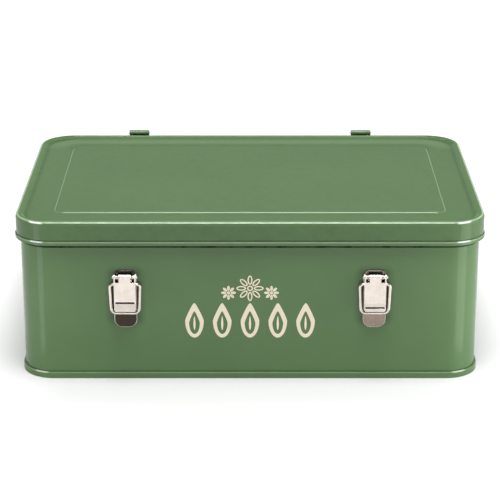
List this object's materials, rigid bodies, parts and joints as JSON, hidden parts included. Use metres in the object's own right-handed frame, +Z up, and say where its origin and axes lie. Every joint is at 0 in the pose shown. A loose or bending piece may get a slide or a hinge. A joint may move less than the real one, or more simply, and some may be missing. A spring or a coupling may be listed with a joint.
{
  "type": "seed organizer box",
  "caption": "Hinged rectangular tinplate box with rounded corners, two front draw latches and fixed partitions for seed packets.",
  "frame": {"origin": "on the resting surface, under the middle of the body's outline", "axes": "+X to the right seen from the front, -Y to the front with the latches, +Z up"},
  "size_m": [0.3414, 0.2314, 0.1246],
  "materials": {
    "green_enamel": "satin sage-green enamel",
    "nickel": "satin nickel plate",
    "tinplate": "bare tinplate"
  },
  "bodies": {
    "box": {"body_wall": "green_enamel", "base_panel": "green_enamel", "long_partition": "tinplate", "cross_partition_left": "tinplate", "cross_partition_middle": "tinplate", "cross_partition_right": "tinplate", "hinge_strap_left": "green_enamel", "hinge_strap_right": "green_enamel", "hinge_pin_left": "green_enamel", "hinge_pin_right": "green_enamel", "latch_plate_left": "nickel", "latch_plate_right": "nickel", "latch_pin_left": "nickel", "latch_pin_right": "nickel"},
    "lid": {"lid_shell": "green_enamel", "lid_leaf_left": "green_enamel", "lid_leaf_right": "green_enamel"},
    "lever_left": {"latch_lever_left": "nickel"},
    "lever_right": {"latch_lever_right": "nickel"},
    "bail_left": {"latch_bail_left": "nickel"},
    "bail_right": {"latch_bail_right": "nickel"}
  },
  "joints": [
    {"name": "lid_hinge", "type": "hinge", "parent": "box", "child": "lid", "pos_m": [0, 0.11325, 0.12238], "axis": [-1, 0, 0], "range_deg": [0, 105]},
    {"name": "lever_left_pivot", "type": "hinge", "parent": "box", "child": "lever_left", "pos_m": [-0.0901, -0.1117, 0.0802], "axis": [-1, 0, 0], "range_deg": [0, 105]},
    {"name": "lever_right_pivot", "type": "hinge", "parent": "box", "child": "lever_right", "pos_m": [0.0901, -0.1117, 0.0802], "axis": [-1, 0, 0], "range_deg": [0, 105]},
    {"name": "bail_left_pivot", "type": "hinge", "parent": "lever_left", "child": "bail_left", "pos_m": [-0.0901, -0.1114, 0.0747], "axis": [-1, 0, 0], "range_deg": [0, 75]},
    {"name": "bail_right_pivot", "type": "hinge", "parent": "lever_right", "child": "bail_right", "pos_m": [0.0901, -0.1114, 0.0747], "axis": [-1, 0, 0], "range_deg": [0, 75]}
  ]
}
